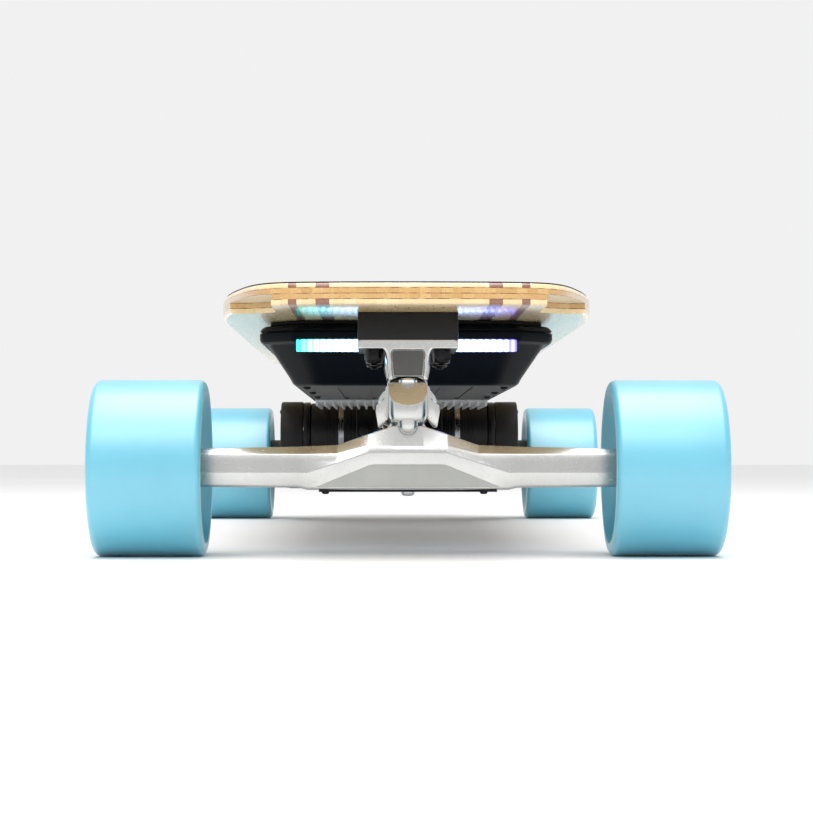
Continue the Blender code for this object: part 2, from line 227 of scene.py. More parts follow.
def piece(name, bm, material, body, replaces=(), sharp=SHARP):
    bmesh.ops.scale(bm, vec=(MM, MM, MM), verts=bm.verts)
    bm.normal_update()
    for face in bm.faces:
        face.smooth = True
    for edge in bm.edges:
        if len(edge.link_faces) == 2 and edge.calc_face_angle(0) > sharp:
            edge.smooth = False
    mesh = bpy.data.meshes.new(name)
    bm.to_mesh(mesh)
    bm.free()
    mesh.materials.append(material)
    obj = bpy.data.objects.new(name, mesh)
    bpy.context.scene.collection.objects.link(obj)
    if body:
        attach(obj, body)
    if replaces:
        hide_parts(*replaces)
    return obj


def between(t, a, b, c, d):
    """A curve through four values in a row, from b where t is 0 to c where t is 1."""
    return 0.5 * (2 * b + (c - a) * t + (2 * a - 5 * b + 4 * c - d) * t * t + (3 * b - a - 3 * c + d) * t**3)


def smooth(points, per=8):
    """Curve through an outline's points, mirrored about x = 0 at its first point."""
    last = len(points) - 1
    out = []
    for i in range(last):
        before = points[i - 1] if i else (-points[1][0], points[1][1])
        four = before, points[i], points[i + 1], points[min(i + 2, last)]
        for k in range(per):
            out.append(tuple(between(k / per, *values) for values in zip(*four)))
    out.append(points[-1])
    return out


def rounded(corners, radius, steps=4):
    """A polygon with each corner turned into an arc."""
    out = []
    for i, corner in enumerate(corners):
        here, back, ahead = Vector(corner), Vector(corners[i - 1]), Vector(corners[(i + 1) % len(corners)])
        r = radius[i] if isinstance(radius, (list, tuple)) else radius
        a = here + (back - here).normalized() * min(r, (back - here).length * 0.48)
        b = here + (ahead - here).normalized() * min(r, (ahead - here).length * 0.48)
        for k in range(steps + 1):
            t = k / steps
            out.append(tuple(a * (1 - t) ** 2 + here * 2 * t * (1 - t) + b * t * t))
    return out


# ---- materials
def rgb(*levels):
    """A linear colour from display levels of red, green and blue between 0 and 255."""
    shares = [level / 255 for level in levels]
    return tuple(c / 12.92 if c <= 0.04045 else ((c + 0.055) / 1.055) ** 2.4 for c in shares)


class Look:
    """A node material with a short way to add and join nodes."""

    def __init__(self, name, **sockets):
        self.material = bpy.data.materials.new(name)
        self.material.use_nodes = True
        self.tree = self.material.node_tree
        self.shader = self.tree.nodes["Principled BSDF"]
        for key, value in sockets.items():
            self.set(self.shader, key.replace("_", " "), value)

    def set(self, node, key, value):
        socket = node.inputs[key]
        if isinstance(value, bpy.types.NodeSocket):
            self.tree.links.new(value, socket)
        elif isinstance(value, tuple) and len(value) == 3 and socket.type == "RGBA":
            socket.default_value = (*value, 1.0)
        else:
            socket.default_value = value

    def node(self, kind, inputs=None, **settings):
        node = self.tree.nodes.new("ShaderNode" + kind)
        for key, value in settings.items():
            setattr(node, key, value)
        for key, value in (inputs or {}).items():
            self.set(node, key, value)
        return node

    def where(self, scale=(1, 1, 1)):
        source = self.node("TexCoord").outputs["Object"]
        return self.node("Mapping", {"Vector": source, "Scale": scale}).outputs["Vector"]

    def noise(self, scale, stretch=(1, 1, 1), detail=4.0, rough=0.55, distortion=0.0):
        inputs = {"Vector": self.where(stretch), "Scale": scale, "Detail": detail}
        inputs.update({"Roughness": rough, "Distortion": distortion})
        return self.node("TexNoise", inputs).outputs["Fac"]

    def xyz(self):
        return self.node("SeparateXYZ", {0: self.node("TexCoord").outputs["Object"]}).outputs

    def chance(self, seed):
        return self.node("TexWhiteNoise", {"Vector": seed}, noise_dimensions="3D").outputs["Value"]

    def math(self, operation, a, b=0.0):
        return self.node("Math", {0: a, 1: b}, operation=operation).outputs[0]

    def spread(self, value, low, high, out_low=0.0, out_high=1.0):
        inputs = {"Value": value, "From Min": low, "From Max": high, "To Min": out_low, "To Max": out_high}
        return self.node("MapRange", inputs).outputs["Result"]

    def mix(self, factor, a, b):
        # A colour Mix node keeps its factor at input 0, its colours at 6 and 7, and its result at output 2.
        node = self.node("Mix", data_type="RGBA")
        self.set(node, 0, factor)
        for index, value in ((6, a), (7, b)):
            self.set(node, index, value)
        return node.outputs[2]

    def ramp(self, factor, stops):
        node = self.node("ValToRGB", {"Fac": factor})
        elements = node.color_ramp.elements
        while len(elements) < len(stops):
            elements.new(0.5)
        for element, (at, colour) in zip(elements, stops):
            element.position, element.color = at, (*colour, 1.0)
        return node.outputs["Color"]

    def bump(self, height, distance, strength=1.0):
        inputs = {"Height": height, "Distance": distance, "Strength": strength}
        return self.node("Bump", inputs).outputs["Normal"]

    def finish(self, colour=None, rough=None, normal=None):
        for key, value in (("Base Color", colour), ("Roughness", rough), ("Normal", normal)):
            if value is not None:
                self.set(self.shader, key, value)
        return self.material


def plain(name, dark, light, rough, grain, depth, patch=30.0, **sockets):
    """Base colour that drifts between two tones, with fine grain in bump and gloss."""
    look = Look(name, **sockets)
    drift = look.noise(patch, detail=5.0)
    fine = look.noise(grain, detail=6.0, rough=0.6)
    colour = look.ramp(drift, [(0.3, dark), (0.7, light)])
    gloss = look.spread(fine, 0.3, 0.7, *rough)
    return look.finish(colour, gloss, look.bump(fine, depth))


# In metres: the veneer strips, the plies, the inlays (place from the middle, half width) and the glue lines.
STRIP_WIDTH, STRIP_LENGTH, PLY = 0.0062, 0.42, 0.00318
INLAYS, GLUE_HALF = ((0.050, 0.004), (0.0675, 0.0025)), 0.00022


def bamboo_look():
    look = Look("bamboo", Coat_Weight=1.0, Coat_Roughness=0.2, Coat_IOR=1.5)
    calc = look.math
    x, y, z = look.xyz()

    def near(value, level, half):
        return calc("LESS_THAN", calc("ABSOLUTE", calc("SUBTRACT", value, level)), half)

    # Lengthwise strips, each with its own tone, with their ends staggered along the board.
    strip = calc("FLOOR", calc("MULTIPLY", x, 1 / STRIP_WIDTH))
    shift = look.node("TexWhiteNoise", {"W": strip}, noise_dimensions="1D").outputs["Value"]
    run = calc("FLOOR", calc("MULTIPLY", calc("ADD", y, calc("MULTIPLY", shift, 0.5)), 1 / STRIP_LENGTH))
    ply = calc("FLOOR", calc("MULTIPLY", calc("SUBTRACT", z, DECK_LOW * MM), 1 / PLY))
    seed = look.node("CombineXYZ", {0: strip, 1: run, 2: ply})
    tone = look.chance(seed.outputs[0])
    fibre = look.noise(60.0, (22, 1.2, 22), 8.0, 0.65, 0.4)
    knot = look.noise(9.0, (30, 0.6, 30), 3.0)
    veneer = look.ramp(
        calc("ADD", calc("MULTIPLY", tone, 0.3), calc("MULTIPLY", fibre, 0.7)),
        [(0.25, rgb(222, 190, 138)), (0.75, rgb(238, 212, 166))],
    )
    core = look.ramp(
        calc("ADD", calc("MULTIPLY", tone, 0.25), calc("MULTIPLY", fibre, 0.75)),
        [(0.2, rgb(178, 132, 72)), (0.55, rgb(202, 160, 99)), (0.85, rgb(219, 183, 128))],
    )
    above, below = calc("GREATER_THAN", z, GLUE[0] * MM), calc("LESS_THAN", z, GLUE[-1] * MM)
    cored = calc("MULTIPLY", above, below)
    colour = look.mix(cored, veneer, core)
    # Dark inlaid strips in the two veneers.
    wide, slim = [near(calc("ABSOLUTE", x), middle, half) for middle, half in INLAYS]
    inlay = calc("MULTIPLY", calc("MAXIMUM", wide, slim), calc("SUBTRACT", 1.0, cored))
    walnut = look.ramp(fibre, [(0.3, rgb(112, 66, 46)), (0.7, rgb(150, 100, 74))])
    colour = look.mix(inlay, colour, walnut)
    # Dark glue lines between the plies.
    lines = 0.0
    for level in GLUE:
        lines = calc("MAXIMUM", lines, near(z, level * MM, GLUE_HALF))
    broken = look.spread(look.noise(160.0, (1, 1, 0.2)), 0.35, 0.6)
    colour = look.mix(calc("MULTIPLY", lines, broken), colour, rgb(86, 44, 20))
    speck = look.spread(knot, 0.72, 0.8, 0.0, 0.35)
    colour = look.mix(speck, colour, rgb(150, 104, 60))
    height = calc("ADD", calc("MULTIPLY", fibre, 0.7), calc("MULTIPLY", lines, -1.0))
    return look.finish(colour, look.spread(fibre, 0.3, 0.7, 0.24, 0.36), look.bump(height, 0.00008))


# Wheel-well ceilings. The grain is the wood's own, but the pale cream tone is painted glow of the light bar; it
# is paler than the core ply that the rebate cuts into.
def rebate_glow_look():
    look = Look("rebate_wood_painted_glow", Coat_Weight=0.6, Coat_Roughness=0.1)
    fibre = look.noise(60.0, (22, 1.2, 22), 8.0, 0.65, 0.4)
    colour = look.ramp(fibre, [(0.3, rgb(214, 196, 164)), (0.7, rgb(238, 226, 200))])
    return look.finish(colour, look.spread(fibre, 0.3, 0.7, 0.3, 0.45), look.bump(fibre, 0.00008))


def grip_look():
    look = Look("grip_grit")
    grit = look.node("TexVoronoi", {"Vector": look.where(), "Scale": 1500.0}, feature="F1")
    cell = grit.outputs["Distance"]
    drift = look.noise(7.0, detail=6.0)
    base = look.ramp(drift, [(0.3, rgb(22, 22, 24)), (0.7, rgb(34, 34, 36))])
    spark = look.chance(grit.outputs["Position"])
    colour = look.mix(look.spread(spark, 0.93, 0.97), base, rgb(96, 96, 100))
    return look.finish(colour, look.spread(spark, 0.9, 1.0, 0.92, 0.4), look.bump(cell, 0.0006, 0.9))


def urethane_look():
    look = Look(
        "blue_urethane", Subsurface_Weight=0.12, Subsurface_Scale=0.004, IOR=1.49,
        Coat_Weight=1.0, Coat_Roughness=0.45, Coat_IOR=2.2, Sheen_Weight=0.12, Sheen_Roughness=0.4,
    )
    look.set(look.shader, "Subsurface Radius", (0.35, 0.8, 1.0))
    cloud = look.noise(16.0, detail=6.0)
    fine = look.noise(420.0, detail=6.0, rough=0.65)
    dust = look.spread(look.noise(70.0, detail=8.0, rough=0.7), 0.6, 0.8, 0.0, 0.14)
    colour = look.ramp(cloud, [(0.3, rgb(50, 164, 190)), (0.7, rgb(64, 177, 202))])
    colour = look.mix(dust, colour, rgb(120, 198, 216))
    return look.finish(colour, look.spread(fine, 0.3, 0.7, 0.3, 0.4), look.bump(fine, 0.00001))


def satin_metal(name, dark, light, rough):
    """Fine blasted aluminium with faint lengthwise marks."""
    look = Look(name, Metallic=1.0)
    blast = look.noise(900.0, detail=5.0, rough=0.6)
    drift = look.noise(24.0, detail=6.0)
    marks = look.noise(60.0, (1, 8, 8), 8.0, 0.7)
    colour = look.ramp(drift, [(0.3, dark), (0.7, light)])
    gloss = look.math("ADD", look.spread(blast, 0.3, 0.7, *rough), look.spread(marks, 0.55, 0.75, 0.0, 0.08))
    return look.finish(colour, gloss, look.bump(blast, 0.00001))


def turned_metal(name, dark, light, rough):
    """Bright metal with fine rings, as a lathe leaves them."""
    look = Look(name, Metallic=1.0)
    rings = look.noise(900.0, (1, 0.15, 0.15), 4.0)
    drift = look.noise(60.0, detail=6.0)
    colour = look.ramp(drift, [(0.3, dark), (0.7, light)])
    return look.finish(colour, look.spread(rings, 0.3, 0.7, *rough), look.bump(rings, 0.00003))


def light_look():
    """Lit lens, teal at one end and violet at the other, brighter over each of its diodes."""
    half, bead_pitch = LIGHT_HALF * MM, 0.0042
    look = Look("light_lens", Roughness=0.25)
    x = look.xyz()[0]
    beads = look.math("SINE", look.math("MULTIPLY", x, 2 * math.pi / bead_pitch))
    tint = look.ramp(
        look.spread(x, -half, half),
        [
            (0.0, (0.02, 0.6, 0.55)), (0.08, (0.2, 0.8, 0.9)), (0.2, (0.42, 0.72, 1.0)),
            (0.75, (0.42, 0.6, 1.0)), (0.93, (0.32, 0.36, 1.0)), (1.0, (0.2, 0.16, 1.0)),
        ],
    )
    fade = look.spread(look.math("ABSOLUTE", x), half, 0.06, 0.45, 1.0)
    power = look.math("MULTIPLY", look.spread(beads, -1.0, 1.0, 2.2, 8.0), fade)
    look.set(look.shader, "Emission Color", tint)
    look.set(look.shader, "Emission Strength", power)
    return look.finish(tint)


BAMBOO = bamboo_look()
REBATE_GLOW = rebate_glow_look()
GRIP = grip_look()
URETHANE = urethane_look()
ALUMINIUM = satin_metal("truck_aluminium", rgb(190, 190, 188), rgb(202, 202, 200), (0.2, 0.28))
# Dark grey for the plate in the neck's recess: painted shade, standing for the dark surroundings that the sunken
# face reflects.
SHADED = plain("recess_painted_shade", rgb(74, 74, 75), rgb(88, 88, 89), (0.4, 0.5), 900.0, 0.00004, Metallic=0.4)
PANEL = satin_metal("panel_metal", rgb(160, 161, 157), rgb(172, 173, 169), (0.32, 0.42))
STEEL = turned_metal("zinc_steel", rgb(168, 168, 172), rgb(196, 196, 198), (0.18, 0.3))
BRIGHT = turned_metal("bright_steel", rgb(214, 214, 216), rgb(232, 232, 233), (0.1, 0.18))
BLACK_STEEL = plain("black_steel", rgb(16, 16, 17), rgb(30, 30, 32), (0.22, 0.36), 700.0, 0.00004, Metallic=0.8)
RUBBER = plain(
    "riser_rubber", rgb(9, 9, 10), rgb(15, 15, 16), (0.34, 0.5), 500.0, 0.00006, Specular_IOR_Level=0.25
)
BUSHING = plain("bushing_urethane", rgb(24, 24, 26), rgb(34, 34, 37), (0.3, 0.42), 500.0, 0.00004)
PLASTIC = plain(
    "case_plastic", rgb(3, 8, 14), rgb(6, 13, 21), (0.3, 0.42), 1400.0, 0.00005,
    Specular_IOR_Level=0.1, IOR=1.35,
)
GASKET = plain(
    "gasket_foam", rgb(14, 14, 15), rgb(22, 22, 23), (0.7, 0.9), 1200.0, 0.00015, Specular_IOR_Level=0.2
)
SINK = turned_metal("sink_aluminium", rgb(190, 192, 192), rgb(210, 211, 211), (0.3, 0.42))
PAINT = plain(
    "motor_paint", rgb(9, 9, 11), rgb(15, 15, 18), (0.28, 0.42), 900.0, 0.00008, Specular_IOR_Level=0.3
)
ANODISED = plain("mount_anodised", rgb(20, 20, 23), rgb(30, 30, 33), (0.26, 0.38), 900.0, 0.00004, Metallic=0.7)
BELT = plain("belt_rubber", rgb(15, 15, 15), rgb(24, 24, 24), (0.55, 0.75), 800.0, 0.0001)
NYLON = plain(
    "pulley_nylon", rgb(11, 11, 12), rgb(18, 18, 19), (0.4, 0.55), 1100.0, 0.00008, Specular_IOR_Level=0.3
)
SHIELD = plain("bearing_shield", rgb(18, 22, 30), rgb(28, 32, 40), (0.3, 0.45), 700.0, 0.00003)
CORE = plain("wheel_core", rgb(24, 25, 27), rgb(36, 37, 40), (0.32, 0.46), 900.0, 0.00006)
LIGHTS = light_look()


# ---- deck
# Half of the nose's edge, from the middle outwards, as (x, u). The tail mirrors it.
NOSE = [
    (0, 79.5), (40, 78.4), (66, 75), (80, 69), (88, 60), (93.6, 49), (99, 33), (105, 9.5),
    (109.6, -11), (114.6, -42), (118.6, -85), (120, -130), (120, -200),
]


def outline(inset, z):
    """The deck's edge at one height, drawn in from its widest line by the inset."""
    quarter = [(x, AXLE_Y + u) for x, u in smooth(NOSE)]
    right = quarter + [(x, -y) for x, y in reversed(quarter)]
    whole = right + [(-x, y) for x, y in reversed(right)][1:-1]
    out = []
    for i, (x, y) in enumerate(whole):
        (ax, ay), (bx, by) = whole[i - 1], whole[(i + 1) % len(whole)]
        length = math.hypot(bx - ax, by - ay)
        nx, ny = (by - ay) / length, (ax - bx) / length
        if nx * x + ny * y < 0:
            nx, ny = -nx, -ny
        out.append((x - nx * inset, y - ny * inset, z))
    return out


def deck():
    levels = [
        (DECK_LOW, 2.4), (148.2, 1.4), (148.7, 0.6), (149.6, 0.15), *[(z, 0.0) for z in GLUE],
        (158.9, 0.15), (159.8, 0.6), (160.3, 1.3), (160.5, 1.55),
    ]
    bm = loft([outline(inset, z) for z, inset in levels])
    rebate = [(80.0, 5.0), (96.0, -7.0), (150.0, -7.0), (150.0, 100.0), (80.0, 100.0)]
    for sx in (-1, 1):
        for sy in (-1, 1):
            corners = rounded([(sx * x, sy * (AXLE_Y + u)) for x, u in rebate], [2.0, 2.0, 0.1, 0.1, 0.1])
            bm = carve(bm, prism(corners, "XY", 140.0, GLUE[1]))
    obj = piece("deck_board", bm, BAMBOO, "board", ["deck"])
    # The rebates' ceilings take the pale wood with the painted glow.
    obj.data.materials.append(REBATE_GLOW)
    for face in obj.data.polygons:
        if abs(face.center.z - GLUE[1] * MM) < 1e-4 and face.normal.z < -0.9:
            face.material_index = 1
    sheet = loft([outline(inset, z) for z, inset in ((160.52, 1.6), (161.1, 1.6), (161.3, 1.9))])
    piece("grip_sheet", sheet, GRIP, "board", ["grip_tape"])


# Places of the four bolts of a truck, as x and u.
BOLT_X, BOLT_U = 20.65, (1.0, -52.9)


def bolts():
    """Eight truck bolts: countersunk socket heads in the deck, lock nuts under the baseplates."""
    names = [f"{end}_bolt_{key}" for end, _ in ENDS for key in "abcd"]
    spots = [(x, side * (AXLE_Y + u)) for side in (-1, 1) for u in BOLT_U for x in (-BOLT_X, BOLT_X)]
    for index, (name, (x, y)) in enumerate(zip(names, spots)):
        turn = 0.7 * index
        at = (x, y, 0)
        cone = [(0, 157.4), (2.5, 157.4), (4.9, 160.3), (5.1, 160.7), (4.9, 160.95), (4.6, 161.0), (0, 161.0)]
        head = carve(lathe(cone, at, UP, 40), rod(1.9, at, UP, 159.0, 162.0, 6, phase=turn))
        thread = [(0, 115.7)]
        for i in range(10):
            thread += [(2.1, 115.8 + 0.8 * i), (2.5, 116.2 + 0.8 * i)]
        thread += [(2.5, 158.0), (0, 158.0)]
        nut = bevel(rod(6.0, at, UP, 119.0, 125.7, 6, phase=turn), 0.6, 2, 20)
        collar = lathe([(2.4, 117.0), (4.2, 117.0), (5.0, 117.8), (5.0, 119.4), (2.4, 119.4)], at, UP, 32)
        whole = together(head, lathe(thread, at, UP, 24), nut, collar)
        piece(name + "_screw", whole, BLACK_STEEL, "board", [name])


# ---- trucks
# Each stage turns about the line from the ring round its kingpin to the nub in its pivot cup, as (u, z).
RING_A, NUB_A, RING_B, NUB_B = (-21.0, 93.5), (5.0, 107.0), (-36.0, 58.0), (14.0, 79.5)
# The hanger's sunken panel leans forwards by this much for each millimetre above its foot.
PANEL_LEAN, PANEL_FOOT = 0.03, 41.6


def screw(name, at, axis, size, length, body, material=None, phase=0.0):
    """Button-head socket screw. Its seat is at the point given, and its head rises along the axis."""
    dome = [(0, -length), (size * 0.5, -length), (size * 0.5, 0)]
    dome += [(a * size, b * size) for a, b in ((1, 0), (1, 0.12), (0.86, 0.42), (0.6, 0.58), (0, 0.62))]
    head = carve(lathe(dome, at, axis, 28), rod(0.42 * size, at, axis, 0.16 * size, size, 6, phase=phase))
    return piece(name, head, material or BLACK_STEEL, body)


def kingpin(end, key, centre, axis, body, cad):
    pin = lathe([(0, -19.4), (4.6, -19.4), (4.6, 18.4), (4.2, 19.4), (3.6, 19.8), (0, 19.8)], centre, axis, 32)
    edge = [(4.7, 12.0), (10.0, 12.0), (10.2, 12.3), (10.2, 13.1), (10.0, 13.4), (4.7, 13.4)]
    washer = lathe(edge, centre, axis, 48)
    nut = bevel(rod(7.9, centre, axis, 13.5, 18.2, 6, phase=0.3), 0.6, 2, 20)
    collar = lathe([(4.7, 18.0), (6.4, 18.0), (6.4, 18.8), (5.6, 19.3), (4.7, 19.3)], centre, axis, 32)
    piece(f"{end}_kingpin_{key}_bolt", together(pin, washer, nut, collar), STEEL, body, [cad])


def truck(end, s, arm_end):
    arm_body, hanger_body = end + "_arm", end + "_hanger"

    def at(u, z, x=0.0):
        return (x, s * (AXLE_Y + u), z)

    def web(points, half):
        return prism([(s * (AXLE_Y + u), z) for u, z in points], "YZ", -half, half)

    def reach(u0, u1):
        return sorted((s * (AXLE_Y + u0), s * (AXLE_Y + u1)))

    def across(points, u0, u1):
        return prism(points, "XZ", *reach(u0, u1))

    def metal(name, bm, body, replaces=(), sharp=SHARP):
        piece(f"{end}_{name}", bm, ALUMINIUM, body, replaces, sharp)

    def down(ring, nub):
        """The kingpin's own direction, square to the line that its stage turns about."""
        length = math.hypot(nub[0] - ring[0], nub[1] - ring[1])
        return (0, s * (nub[1] - ring[1]) / length, -(nub[0] - ring[0]) / length)

    at_a, at_b, axis_a, axis_b = at(*RING_A), at(*RING_B), down(RING_A, NUB_A), down(RING_B, NUB_B)

    # Riser pad and baseplate.
    pad = rounded([(-30.5, 11), (30.5, 11), (30.5, -63), (-30.5, -63)], 1.6, 3)
    pad = [(x, s * (AXLE_Y + u)) for x, u in pad]
    riser = bevel(prism(pad, "XY", 131.1, 147.9), 0.45, 2, 50)
    piece(end + "_riser_pad", riser, RUBBER, "board", [end + "_riser"])
    plate = prism(pad, "XY", 125.9, 131.0)
    neck = []
    for z, half, front, back in (
        (128, 17.5, 11, -16), (125.6, 15.3, 11, -13), (124.2, 14.1, 11, -11.5),
        (122, 13.3, 11, -10), (117, 12.6, 11, -7), (109, 11.8, 11, -5),
    ):
        ring = rounded([(-half, front), (half, front), (half, back), (-half, back)], 1.6, 2)
        neck.append([at(u, z, x) for x, u in ring])
    recess = rounded([(-9.0, 100), (9.0, 100), (10.3, 125.4), (-10.3, 125.4)], [0.1, 0.1, 2.8, 2.8])
    body = carve(loft(neck), across(recess, 9.7, 20))
    walls = [brick(span, reach(-4, 10.9), (107.0, 111.0)) for span in ((-11.7, -9.4), (9.4, 11.7))]
    boss = lathe([(0, -38), (14.5, -38), (14.5, -24), (12.6, -16), (12.5, -12.2), (0, -12.2)], at_a, axis_a, 48)
    casting = cast([plate, body, boss, *walls], 0.5, 3, 0.32)
    low, high = sorted((s * 280, s * 480))
    top = box((-80, low, 131.0), (80, high, 200))
    casting = carve(casting, top, rod(6.2, at(6.5, 0), UP, 100.0, 109.0, 40))
    metal("baseplate_casting", casting, "board", [end + "_baseplate"])
    # A thin dark plate in the neck's recess, which carries the painted shade.
    face = rounded([(-8.6, 109.3), (8.6, 109.3), (9.9, 124.9), (-9.9, 124.9)], [0.4, 0.4, 2.5, 2.5], 5)
    piece(end + "_neck_shade_plate", bevel(across(face, 9.5, 9.95), 0.1, 1, 50), SHADED, "board")

    # Arm: knuckle with its slanted face, nubs, cheeks, and the cast yoke behind.
    def knuckle(scale, z):
        middle = 8.5
        shape = [
            (0, 20), (4, 19.72), (8, 18.5), (10.2, 16.6), (11.3, 14.0),
            (11.5, 11.0), (11.5, 2.0), (10.6, -1.2), (8.0, -2.6), (0, -3.0),
        ]
        shape += [(-x, u) for x, u in reversed(shape[1:-1])]
        return [at(middle + (u - middle) * scale, z, x * scale) for x, u in shape]

    levels = [(0.5, 80.5), (0.7, 80.8), (0.87, 81.8), (0.96, 83.4), (1.0, 85.6), (1.0, 93.0), (0.985, 105.2)]
    block = loft([knuckle(scale, z) for scale, z in levels])
    block = carve(block, web([(20.6, 90.6), (8.6, 105.0), (8.6, 130), (60, 130), (60, 90.6)], 40))
    bevel(block, 0.45, 2, 32)
    metal("knuckle", block, arm_body, [end + "_arm"], BLUNT)
    button = [(0, 104.6), (5.0, 104.6), (5.6, 105.4), (5.7, 106.6), (5.2, 107.6), (4.0, 108.2), (0, 108.5)]
    piece(end + "_upper_nub", lathe(button, at(6.5, 0), UP, 48), BRIGHT, arm_body)
    nub_u, nub_z = NUB_B
    bowl = [(6 * math.sin(t), nub_z - 6 * math.cos(t)) for t in [math.pi * i / 20 for i in range(1, 11)]]
    nub = lathe([(0, nub_z - 6)] + bowl + [(6, 83), (0, 83)], at(nub_u, 0), UP, 40)
    metal("lower_nub", nub, arm_body)
    # The cheeks' rear halves are hollowed, so that the upper kingpin's washer clears them when the arm tilts.
    hollow = [(-12.9, 60), (12.9, 60), (12.9, 120), (-12.9, 120)]
    shape = [
        (10.6, 104.5), (13.5, 103), (14.3, 95.4), (19.3, 91.4),
        (19.6, 88), (18.0, 78.5), (16.3, 78.2), (10.6, 85),
    ]
    for sx in (-1, 1):
        cheek = carve(across([(sx * x, z) for x, z in shape], -20, -4), across(hollow, -30, -9))
        metal("cheek_" + ("left" if sx < 0 else "right"), bevel(cheek, 0.5, 2, 15), arm_body)
    yoke = [
        turned_ring(6.6, 18.0, 1.0, -3.4, 3.4, at_a, axis_a),
        web([(-13, 95.2), (-2, 100.2), (-2, 82.5), (5, 82.5), (5, 104.2), (-1.5, 104.2), (-13, 98.6)], 9.8),
        rod(12.5, at_b, axis_b, -22.5, -11.8, 40, 1.0),
        web([(-50.0, 73.5), (-35.5, 73.0), (-34.0, 87.6), (-36, 91.6), (-43, 90), (-50.6, 80)], 10.6),
    ]
    metal("arm_yoke", cast(yoke), arm_body)

    # Hanger: the faceted beam, with the cup for the lower nub and a plain sunken panel.
    def section(x, bottom, back_top, top, lip, brow, brow_low, ridge):
        points = [
            (-9.5, bottom), (-12.5, bottom + 3.0), (-12.5, back_top - 2.8), (-10.0, back_top), (0.4, back_top),
            (1.2, top), (lip, top), brow, (brow[0] + 0.7, brow_low),
            ridge, (ridge[0] - 1.9, bottom + 1.3), (ridge[0] - 3.4, bottom),
        ]
        return [at(u, z, x) for u, z in points]

    # Each row is one station along the beam: x, heights of the bottom, the back's top and the crest, then the
    # crest's front edge (u), the brow (u, z), the height that it falls to, and the front ridge (u, z).
    rows = [
        (9.0, 40.3, 62.0, 79.0, 12.6, (14.6, 66.8), 64.7, (15.6, 62.7)),
        (23.7, 40.3, 62.0, 74.0, 11.6, (14.4, 66.8), 64.7, (15.5, 62.7)),
        (43.0, 40.3, 63.0, 67.4, 7.4, (12.2, 62.2), 59.2, (14.4, 56.6)),
        (61.0, 40.3, 64.6, 66.8, 6.2, (11.6, 62.0), 57.7, (13.3, 50.6)),
        (66.0, 41.6, 64.6, 66.5, 6.2, (11.5, 62.0), 57.7, (13.2, 50.5)),
        (arm_end - 0.2, 42.2, 64.0, 65.2, 6.2, (11.3, 62.0), 57.7, (12.8, 50.5)),
    ]
    beam = loft([section(-x, *rest) for x, *rest in reversed(rows)] + [section(x, *rest) for x, *rest in rows])
    bevel(beam, 0.5, 2, 9)
    cup = [(0, -6.3), (2.4, -5.82), (4.5, -4.4), (5.85, -2.3), (6.3, 0), (6.6, 3.0), (7.0, 8.0), (0, 8.0)]
    beam = carve(beam, lathe(cup, at(*NUB_B), UP, 40), rod(4.3, at(0, AXLE_Z), (1, 0, 0), -200, 200, 32))

    def leaning(points, depths):
        return loft([[at(u + PANEL_LEAN * (z - PANEL_FOOT), z, x) for x, z in points] for u in depths])

    panel = rounded([(-57.0, 41.6), (57.0, 41.6), (22.5, 56.0), (-22.5, 56.0)], [1.2, 1.2, 2.5, 2.5])
    beam = carve(beam, leaning(panel, (12.2, 30.0)))
    metal("hanger_beam", beam, hanger_body, [end + "_hanger"], FACET)
    inner = rounded([(-55.6, 42.1), (55.6, 42.1), (22.2, 55.6), (-22.2, 55.6)], [1.0, 1.0, 2.3, 2.3])
    slab = bevel(leaning(inner, (11.6, 12.35)), 0.12, 1, 40)
    piece(end + "_hanger_panel", slab, PANEL, hanger_body)
    spine = [(-25.5, 60.8), (-14, 65.2), (-12, 58), (-2, 57), (1, 66.8), (-12, 67.2), (-19, 66.8), (-25.5, 65.2)]
    yoke = [
        turned_ring(6.6, 16.5, 1.0, -3.4, 3.4, at_b, axis_b),
        web(spine, 13.5),
    ]
    metal("hanger_yoke", cast(yoke), hanger_body)
    plate = bevel(brick((-54, 54), reach(-9, 11), (39.1, 40.15)), 0.25, 1, 40)
    piece(end + "_hanger_cover", plate, ANODISED, hanger_body)
    for index, x in enumerate((-50.0, 46.0)):
        screw(f"{end}_cover_screw_{index}", at(5, 39.1, x), DOWN, 2.4, 1.0, hanger_body, phase=index)
    screw(f"{end}_cover_bolt", at(4, 39.1), DOWN, 4.2, 1.0, hanger_body, STEEL)

    # Kingpins and bushings.
    for key, centre, axis, still, moving, cad in (
        ("upper", at_a, axis_a, "board", arm_body, end + "_kingpin_upper"),
        ("lower", at_b, axis_b, arm_body, hanger_body, end + "_kingpin_lower"),
    ):
        kingpin(end, key, centre, axis, still, cad)
        for half_name, near, far in (("inner", -3.5, -11.7), ("outer", 3.5, 11.9)):
            step = 1 if far > near else -1
            profile = [
                (5.0, near), (11.2, near), (11.9, near + 0.7 * step), (12.0, near + 2.0 * step),
                (11.6, (near + far) / 2),
                (12.0, far - 2.0 * step), (11.9, far - 0.7 * step), (11.2, far), (5.0, far),
            ]
            bm = lathe(profile, centre, axis, 48)
            bushing = piece(f"{end}_bushing_{key}_{half_name}", bm, BUSHING, None)
            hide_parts(f"{end}_bushing_{key}")
            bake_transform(bushing)

    tip = [
        (0, -190.4), (3.2, -190.4), (4.0, -189.6), (4.0, -135.6), (5.6, -135.6), (6.0, -135.2),
        (6.0, -arm_end - 0.3), (4.0, -arm_end - 0.3),
    ]
    shaft = lathe(tip + [(r, -h) for r, h in reversed(tip)], at(0, AXLE_Z), (1, 0, 0), 40)
    piece(end + "_axle_shaft", shaft, STEEL, hanger_body, [end + "_axle"])


# ---- wheels
def arc(cx, cy, radius, start, stop, steps):
    turns = [math.radians(start + (stop - start) * i / steps) for i in range(steps + 1)]
    return [(cx + radius * math.cos(t), cy + radius * math.sin(t)) for t in turns]


